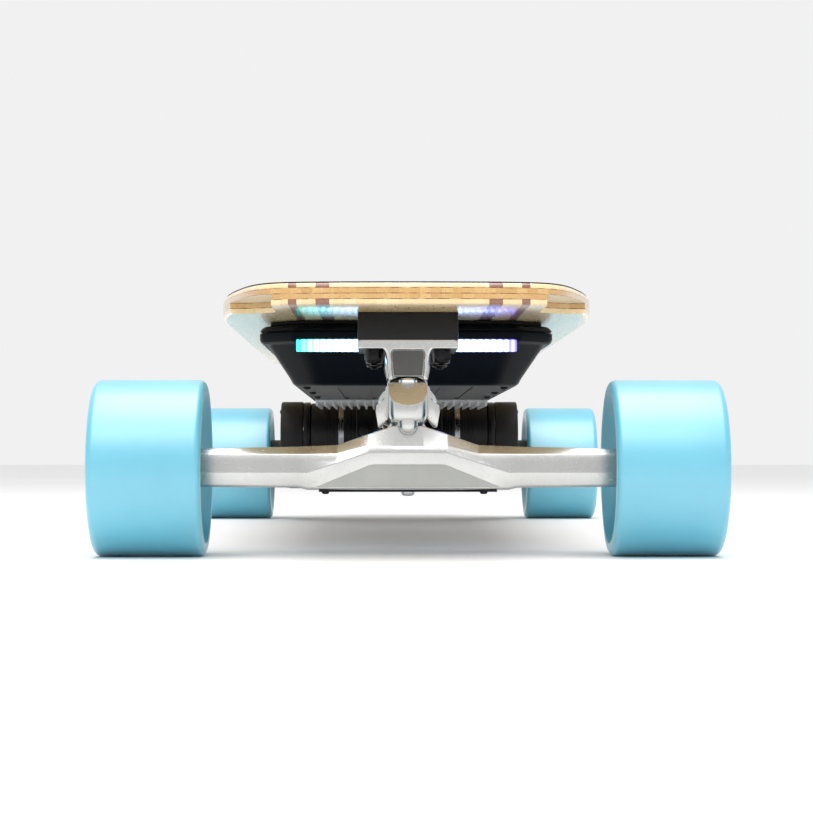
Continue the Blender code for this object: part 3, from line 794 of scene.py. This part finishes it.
def wheel(end, s, side):
    body = f"{end}_{side}_wheel"
    hub, out = (0, s * AXLE_Y, AXLE_Z), OUT[side]
    # Urethane: inner dish, lip, shoulder, tread, outer shoulder, lip and dish. Its bore closes the loop.
    tyre = [
        (27.0, 138.6), (28.6, 136.6), (30.4, 135.8), (34.0, 133.6), (39.6, 129.0),
        (44.0, 125.0), (44.9, 123.4), (45.8, 122.5), (47.0, 122.4),
    ]
    tyre += arc(49.3, 126.6, 4.2, -75, 0, 8) + [(53.5, 142.0), (53.5, 156.0), (53.5, 170.0)]
    tyre += arc(49.0, 185.3, 4.5, 0, 90, 9)
    tyre += [
        (46.4, 189.6), (44.8, 188.4), (39.0, 184.6), (32.0, 180.2),
        (29.0, 178.0), (27.6, 176.6), (27.0, 175.0),
    ]
    piece(body + "_tyre", lathe(tyre, hub, out, 144), URETHANE, body, [body], BLUNT)
    boss = [(11.3, 137.4), (15.0, 137.4), (15.6, 138.2), (15.6, 175.0), (15.0, 176.0), (11.3, 176.0)]
    core = lathe(boss, hub, out, 64)
    rim = tube(23.4, 26.9, 139.2, 174.6, hub, out)
    web = tube(15.0, 24.0, 154.0, 159.0, hub, out)
    ribs = []
    at = axes(hub, out)
    for i in range(8):
        rib = bevel(box((15.0, -1.5, 139.8), (24.2, 1.5, 174.0)), 0.3, 1, 40)
        bmesh.ops.transform(rib, matrix=at @ Matrix.Rotation(i * math.pi / 4, 4, "Z"), verts=rib.verts)
        ribs.append(rib)
    piece(body + "_core", together(core, rim, web, *ribs), CORE, body)
    races, shields = [], []
    for low, high in ((136.2, 142.9), (170.3, 177.0)):
        races.append(turned_ring(9.4, 11.0, 0.3, low, high, hub, out, 64))
        races.append(turned_ring(4.1, 6.1, 0.2, low, high, hub, out))
        shields.append(tube(6.2, 9.3, low + 0.5, high - 0.5, hub, out, 48))
    spacer = tube(4.2, 5.4, 143.0, 170.2, hub, out, 32)
    piece(body + "_races", together(*races, spacer), BRIGHT, body, [f"{end}_{side}_bearings"])
    piece(body + "_shields", together(*shields), SHIELD, body)
    washer = turned_ring(4.2, 8.2, 0.2, 177.3, 178.4, hub, out, 40)
    nut = bevel(rod(7.2, hub, out, 178.4, 183.8, 6, phase=0.4), 0.5, 2, 20)
    collar = lathe([(4.1, 183.6), (5.9, 183.6), (5.9, 185.2), (5.2, 185.9), (4.1, 185.9)], hub, out, 32)
    whole = together(washer, nut, collar)
    piece(f"{end}_{side}_nut", whole, STEEL, f"{end}_hanger", [f"{end}_{side}_axle_nut"])


# ---- case
# Its front and back walls (y), and the centres of the button and the port in the back wall.
FRONT, BACK = -336.0, 278.0
BUTTON, PORT, REARWARD = (-36, 0, 125), (36, 0, 123), (0, 1, 0)


def tier(half, front, back, chamfer, z):
    """One level of the case: a rectangle with its corners cut off and eased."""
    hard = [
        (half, front + chamfer), (half, back - chamfer), (half - chamfer, back), (chamfer - half, back),
        (-half, back - chamfer), (-half, front + chamfer), (chamfer - half, front), (half - chamfer, front),
    ]
    return [(x, y, z) for x, y in rounded(hard, 5.0, 4)]


def case():
    # Half width, setback of the front wall, height and corner cut: floor, sloping walls, rim, seam and top.
    levels = [
        (71.0, 41.0, 106.95, 14.0), (72.4, 39.6, 107.05, 14.2), (73.6, 38.4, 107.5, 14.6),
        (75.0, 36.6, 108.6, 15.0), (76.8, 34.2, 112.0, 16.0),
        (89.2, 6.9, 131.4, 22.0), (89.8, 5.8, 132.6, 22.5), (90.6, 4.6, 133.2, 23.0),
        (93.6, 1.8, 133.5, 24.0), (94.8, 0.6, 134.6, 24.0), (95.5, 0.0, 136.6, 24.0), (95.5, 0.0, 140.0, 24.0),
        (95.1, 0.4, 140.5, 24.0), (92.6, 2.9, 140.6, 24.0), (92.6, 2.9, 141.5, 24.0), (95.1, 0.4, 141.6, 24.0),
        (95.3, 0.2, 142.2, 24.0), (94.0, 1.1, 143.7, 23.8), (92.8, 2.1, 144.7, 23.6), (91.4, 3.4, 145.1, 23.4),
    ]
    hull = loft([tier(w, FRONT + slope, BACK - min(slope, 0.6), c, z) for w, slope, z, c in levels])
    slot = [(FRONT - 9.0, 127.4), (FRONT - 9.0, 135.7), (FRONT + 8.0, 135.7), (FRONT + 8.0, 127.4)]
    hull = carve(
        hull,
        prism(slot, "YZ", -71.0, 71.0),
        rod(7.4, BUTTON, REARWARD, 268.2, 290, 40),
        lathe([(0, 270), (5.0, 270), (5.0, 274), (7.9, 274), (7.9, 290), (0, 290)], PORT, REARWARD, 40),
    )
    # Long shallow grooves under the case.
    for x in (-44.0, -22.0, 22.0, 44.0):
        groove = rounded([(x - 1.6, -270), (x + 1.6, -270), (x + 1.6, 36), (x - 1.6, 36)], 1.5, 4)
        hull = carve(hull, prism(groove, "XY", 100.0, 107.7))
    piece("case_body", hull, PLASTIC, "board", ["case_shell"])
    steps = [(87.4, 6.2, 145.0), (87.4, 6.2, 145.5), (88.6, 5.2, 145.9), (88.6, 5.2, 147.5), (88.1, 5.6, 147.9)]
    seal = loft([tier(half, FRONT + inset, BACK - 91.5 + half, 22.0, z) for half, inset, z in steps])
    piece("case_seal", seal, GASKET, "board", ["case_lid"])
    lens = [
        (1.2, 127.8), (-0.4, 128.2), (-1.2, 129.0), (-1.6, 131.0), (-1.6, 132.6),
        (-1.2, 134.2), (-0.4, 135.0), (1.2, 135.3), (6.6, 135.3), (6.6, 127.8),
    ]
    bar = prism([(FRONT + y, z) for y, z in lens], "YZ", -LIGHT_HALF, LIGHT_HALF)
    piece("light_bar_lens", bevel(bar, 0.4, 2, 60), LIGHTS, "board", ["led_light_bar"])
    spots = [(sx * 66.0, y) for y in (-270.0, -150.0, -30.0, 238.0) for sx in (-1, 1)]
    spots += [(0.0, -288.0), (0.0, 262.0)]
    for index, (x, y) in enumerate(spots):
        screw(f"case_screw_{index}", (x, y, 107.0), DOWN, 3.2, 2.0, "board", phase=index)


def heat_sink():
    low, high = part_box("heat_sink")
    x0, y0, x1, y1 = low.x / MM, low.y / MM, high.x / MM, high.y / MM
    parts = [bevel(box((x0, y0, 104.8), (x1, y1, 106.9)), 0.3, 1, 40)]
    count, fin_width = 22, 2.6
    pitch = (x1 - x0 - fin_width) / (count - 1)
    fin = [(0.2, 105.2), (0.5, 102.1), (0.9, 101.7), (1.7, 101.7), (2.1, 102.1), (2.4, 105.2)]
    for i in range(count):
        parts.append(prism([(x0 + i * pitch + x, z) for x, z in fin], "XZ", y0 + 1, y1 - 1))
    piece("heat_sink_fins", together(*parts), SINK, "board", ["heat_sink"])


def controls():
    """Power button in its bezel, and the charge port with its hinged cap."""
    knob = [(0, 272.0), (6.6, 272.0), (6.6, 279.0), (6.2, 279.8), (5.4, 280.1), (0, 279.7)]
    knob = lathe(knob, BUTTON, REARWARD, 48)
    piece("button_top", knob, STEEL, "power_button", ["power_button"])
    ring = lathe([(3.4, 279.6), (4.3, 279.6), (4.3, 280.15), (3.4, 280.1)], BUTTON, REARWARD, 40)
    glow = Look("button_glow", Emission_Color=(0.1, 0.6, 1.0), Emission_Strength=1.5, Roughness=0.3)
    piece("button_ring", ring, glow.finish((0.1, 0.6, 1.0)), "power_button")
    bezel = [(7.2, 276.5), (9.6, 276.5), (9.6, 278.6), (9.0, 279.2), (7.6, 279.2), (7.2, 278.8)]
    piece("button_bezel", lathe(bezel, BUTTON, REARWARD, 48), ANODISED, "board")
    socket = [(3.4, 270.2), (4.8, 270.2), (4.8, 273.6), (4.4, 274.0), (3.8, 274.0), (3.4, 273.6)]
    contact = together(lathe(socket, PORT, REARWARD, 32), rod(1.1, PORT, REARWARD, 270.1, 273.4, 20, 0.4))
    piece("charge_contact", contact, BRIGHT, "board")
    flap = rounded([(23.5, 112.0), (48.5, 112.0), (48.5, 134.6), (23.5, 134.6)], [4.0, 4.0, 2.0, 2.0], 5)
    body = bevel(prism(flap, "XZ", 278.2, 280.4), 0.5, 2, 50)
    ribs = []
    for z in (114.2, 116.6, 119.0):
        rib = rounded([(29.0, z), (43.0, z), (43.0, z + 1.2), (29.0, z + 1.2)], 0.5, 3)
        ribs.append(bevel(prism(rib, "XZ", 280.2, 280.9), 0.2, 1, 50))
    hinge = rod(1.5, (0, 279.9, 135.4), (1, 0, 0), 27, 45, 24, 0.3)
    web = prism([(28, 134.0), (44, 134.0), (44, 135.6), (28, 135.6)], "XZ", 278.6, 280.3)
    plug = lathe([(0, 276.6), (6.6, 276.6), (7.2, 277.0), (7.2, 278.6), (0, 278.6)], PORT, REARWARD, 40)
    cap = together(body, *ribs, hinge, web, plug)
    rubber = plain("cap_rubber", rgb(20, 20, 21), rgb(30, 30, 31), (0.5, 0.7), 700.0, 0.0001)
    piece("charge_flap", cap, rubber, "charge_cap", ["charge_cap"])


# ---- drives
# Centres as (y, z), and distances from the board's middle plane.
MOTOR = (AXLE_Y - 75.0, 80.0)
AXLE = (AXLE_Y, AXLE_Z)
MOUNT_IN, MOUNT_OUT, COVER_OUT = 82.9, 88.9, 110.3
MOTOR_TEETH, WHEEL_TEETH, BELT_TEETH = 16, 29, 56


def stadium(ra, rb, steps=32):
    """Outline round two circles: radius ra at the axle and rb at the motor."""
    dy, dz = MOTOR[0] - AXLE[0], MOTOR[1] - AXLE[1]
    base, lean = math.atan2(dz, dy), math.acos((ra - rb) / math.hypot(dy, dz))
    points = []
    for (cy, cz), radius, start, stop in (
        (AXLE, ra, base + lean, base + 2 * math.pi - lean), (MOTOR, rb, base - lean, base + lean)
    ):
        for k in range(steps + 1):
            t = start + (stop - start) * k / steps
            points.append((cy + radius * math.cos(t), cz + radius * math.sin(t)))
    return points


def walked(points, count):
    """The closed outline again, with its points evenly spaced."""
    loop = points + [points[0]]
    lengths = [math.dist(a, b) for a, b in zip(loop, loop[1:])]
    total, out, index, gone = sum(lengths), [], 0, 0.0
    for k in range(count):
        target = total * k / count
        while gone + lengths[index] < target:
            gone += lengths[index]
            index += 1
        t = (target - gone) / lengths[index]
        (ay, az), (by, bz) = loop[index], loop[index + 1]
        out.append((ay + (by - ay) * t, az + (bz - az) * t))
    return out


def toothed(teeth, high, low, centre, x0, x1):
    points = []
    for k in range(teeth):
        for offset, radius in ((-0.27, low), (-0.2, high), (0.2, high), (0.27, low)):
            t = 2 * math.pi * (k + offset) / teeth
            points.append((centre[0] + radius * math.cos(t), centre[1] + radius * math.sin(t)))
    return prism(points, "YZ", *sorted((x0, x1)))


def drive(side):
    out = OUT[side]
    sx = out[0]
    hub, motor = (0, *AXLE), (0, *MOTOR)

    def span(a, b):
        return sorted((sx * a, sx * b))

    def around(centre, x, radius, t):
        return (sx * x, centre[0] + radius * math.cos(t), centre[1] + radius * math.sin(t))

    can = [
        (0, 17.2), (7.0, 17.2), (7.4, 17.8), (12.0, 17.8), (23.0, 17.8), (27.0, 19.2), (29.0, 21.4),
        (30.0, 25.0), (30.0, 39.2), (29.6, 39.8), (28.9, 40.0), (28.9, 67.6), (29.6, 67.8), (30.0, 68.4),
        (30.0, 81.6), (29.4, 82.4), (28.4, 82.7), (6.0, 82.7), (6.0, 81.0), (0, 81.0),
    ]
    can = lathe(can, motor, out, 96)
    piece(side + "_motor_can", can, PAINT, "rear_hanger", [side + "_motor_housing"])
    bands = [
        lathe([(28.8, x), (29.35, x + 0.3), (29.35, x + 1.5), (28.8, x + 1.8)], motor, out, 96)
        for x in (41.6, 45.0, 48.4, 57.8, 61.2, 64.6)
    ]
    piece(side + "_motor_bands", together(*bands), PAINT, "rear_hanger")
    stripe = lathe([(28.8, 51.4), (29.2, 51.6), (29.2, 56.4), (28.8, 56.6)], motor, out, 96)
    piece(side + "_motor_stripe", stripe, STEEL, "rear_hanger")
    for i in range(4):
        seat = around(MOTOR, 17.8, 19, math.pi / 4 + i * math.pi / 2)
        screw(f"{side}_motor_cap_screw_{i}", seat, (-sx, 0, 0), 2.2, 1.0, "rear_hanger", STEEL, i)
    plug = rod(4.2, (sx * 33, MOTOR[0] - 29.0, MOTOR[1] + 3), (0, -1, 0.1), -3, 5.5, 32, 0.8)
    piece(side + "_motor_gland", plug, NYLON, "rear_hanger")

    # Rotor: shaft, end flanges and toothed pinion.
    nose = [(0, 106.1), (11.2, 106.1), (11.4, 106.4), (11.2, 106.9), (4.0, 106.9), (0, 106.6)]
    pinion = together(
        rod(4.6, motor, out, MOUNT_IN, 90.6, 32),
        toothed(MOTOR_TEETH, 12.3, 11.1, MOTOR, sx * 92.0, sx * 106.2),
        turned_ring(4.5, 13.6, 0.4, 90.6, 92.1, motor, out),
        lathe(nose, motor, out, 48),
    )
    piece(side + "_pinion", pinion, STEEL, side + "_rotor", [side + "_motor_rotor"])

    # Mount plate, clamped on the hanger's arm.
    plate = prism(stadium(23.0, 31.0), "YZ", *span(MOUNT_IN, MOUNT_OUT))
    grip = [(AXLE_Y + u, z) for u, z in ((-12.7, 42.0), (-12.7, 66.4), (6.8, 66.4), (13.4, 62.4), (13.4, 42.0))]
    window = rounded([(AXLE_Y - 40, 55), (AXLE_Y - 26, 48), (AXLE_Y - 24, 66), (AXLE_Y - 36, 72)], 4.0, 5)
    through = span(78, 94)
    plate = carve(
        plate, prism(rounded(grip, 1.5, 3), "YZ", *through), prism(window, "YZ", *through),
        rod(10.5, motor, out, 70, 100, 48), brick(through, (AXLE_Y + 10, AXLE_Y + 30), (52.8, 54.2)),
    )
    bevel(plate, 0.5, 2, 40)
    piece(side + "_mount_plate", plate, ANODISED, "rear_hanger", [side + "_motor_mount"])
    for i in range(4):
        seat = around(MOTOR, MOUNT_OUT, 18, math.radians(20) + i * math.pi / 2)
        screw(f"{side}_mount_screw_{i}", seat, out, 2.6, 1.0, "rear_hanger", phase=i)

    # Belt with its teeth inside, and the wheel's pulley.
    count = BELT_TEETH * 6
    radii = ((24.5, 14.5), (23.2, 13.2), (22.6, 12.6))
    outer, inner, root = [walked(stadium(ra, rb, 60), count) for ra, rb in radii]
    inside = [root[i] if i % 6 in (1, 2, 3) else inner[i] for i in range(count)]
    x0, x1 = span(93.2, 106.0)
    rim = [[(x, *p) for p in path] for x, path in ((x0, inside), (x0, outer), (x1, outer), (x1, inside))]
    bm = loft(rim + [rim[0]], caps=False)
    piece(side + "_belt_loop", bm, BELT, "rear_hanger", [side + "_belt"])
    flanges = [turned_ring(17.0, 24.2, 0.4, a, b, hub, out, 96) for a, b in ((91.0, 92.7), (107.3, 109.0))]
    disc = tube(6.7, 18.0, 97.0, 103.0, hub, out)
    for i in range(6):
        disc = carve(disc, rod(2.6, around(AXLE, 0, 14.2, i * math.pi / 3), out, 90, 110, 24))
    neck = [
        (6.7, 91.2), (11.0, 91.2), (11.6, 91.8), (11.6, 108.6), (22.0, 109.4),
        (22.4, 110.0), (22.4, 135.2), (21.8, 135.7), (6.7, 135.7),
    ]
    sleeve = lathe(neck, hub, out, 64)
    crown = toothed(WHEEL_TEETH, 22.5, 21.2, AXLE, sx * 92.6, sx * 107.4)
    crown = carve(crown, rod(17.5, hub, out, 85, 115, 64))
    pulley = together(*flanges, disc, sleeve, crown)
    cad = [side + "_wheel_pulley"]
    piece(side + "_wheel_sprocket", pulley, NYLON, f"rear_{side}_wheel", cad)

    # Belt cover: a shallow cup around the pinion's end of the belt.
    shell = bevel(prism(stadium(31.0, 31.3, 40), "YZ", *span(89.3, COVER_OUT)), 1.6, 3, 60)
    hollow = prism(stadium(29.2, 29.6, 40), "YZ", *span(78.0, 108.6))
    shell = carve(shell, hollow, rod(36.1, hub, out, 70, 130, 72))
    for angle in range(75, 286, 30):
        shell = carve(shell, rod(2.2, around(MOTOR, 0, 16, math.radians(angle)), out, 103, 118, 20))
    piece(side + "_cover_shell", shell, NYLON, "rear_hanger", [side + "_belt_cover"])
    for i, angle in enumerate((118, 200)):
        seat = around(MOTOR, COVER_OUT, 24.5, math.radians(angle))
        screw(f"{side}_cover_screw_{i}", seat, out, 1.9, 1.0, "rear_hanger", phase=i)


deck()
bolts()
truck("front", -1, 130.0)
truck("rear", 1, 89.0)
for end_name, end_sign in ENDS:
    for side_name in OUT:
        wheel(end_name, end_sign, side_name)
case()
heat_sink()
controls()
for side_name in OUT:
    drive(side_name)


# ---- hidden inner boxes, floor, light, camera
for node, tone in (("battery_pack", (0.02, 0.05, 0.14)), ("motor_controller", (0.05, 0.05, 0.055))):
    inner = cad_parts[node]
    inner.data.materials.clear()
    finish = plain(node + "_finish", tone, tuple(1.4 * c for c in tone), (0.3, 0.5), 300.0, 0.0001)
    inner.data.materials.append(finish)


def floor():
    bm = bmesh.new()
    bmesh.ops.create_grid(bm, x_segments=1, y_segments=1, size=12000.0)
    paint = plain("floor_paint", (0.86, 0.86, 0.86), (0.89, 0.89, 0.89), (0.55, 0.65), 40.0, 0.00002, patch=1.5)
    piece("floor", bm, paint, None)


def lamp(name, at, target, size, power):
    data = bpy.data.lights.new(name, "AREA")
    data.shape, data.size, data.size_y, data.energy = "RECTANGLE", size[0], size[1], power
    obj = bpy.data.objects.new(name, data)
    bpy.context.scene.collection.objects.link(obj)
    obj.location = at
    obj.rotation_euler = (Vector(target) - Vector(at)).to_track_quat("-Z", "Y").to_euler()


def studio():
    world = bpy.data.worlds.new("studio")
    bpy.context.scene.world = world
    world.use_nodes = True
    back = world.node_tree.nodes["Background"]
    back.inputs["Color"].default_value = (1.0, 1.0, 1.0, 1.0)
    back.inputs["Strength"].default_value = 0.88
    bpy.context.scene.view_settings.view_transform = "Standard"
    lamp("top_light", (0.0, -0.4, 1.9), (0, -0.2, 0.1), (1.6, 1.8), 36.0)
    lamp("front_light", (-0.3, -2.7, 2.3), (0, -0.4, 0.08), (2.4, 1.0), 30.0)


def camera():
    data = bpy.data.cameras.new("camera")
    data.sensor_width, data.lens, data.clip_start, data.clip_end = 36.0, 97.6, 0.02, 60.0
    obj = bpy.data.objects.new("camera", data)
    bpy.context.scene.collection.objects.link(obj)
    obj.location = (-0.0151, -1.746, 0.0614)
    obj.rotation_euler = (math.radians(91.26), 0.0, math.radians(-0.61))
    bpy.context.scene.camera = obj


floor()
studio()
camera()
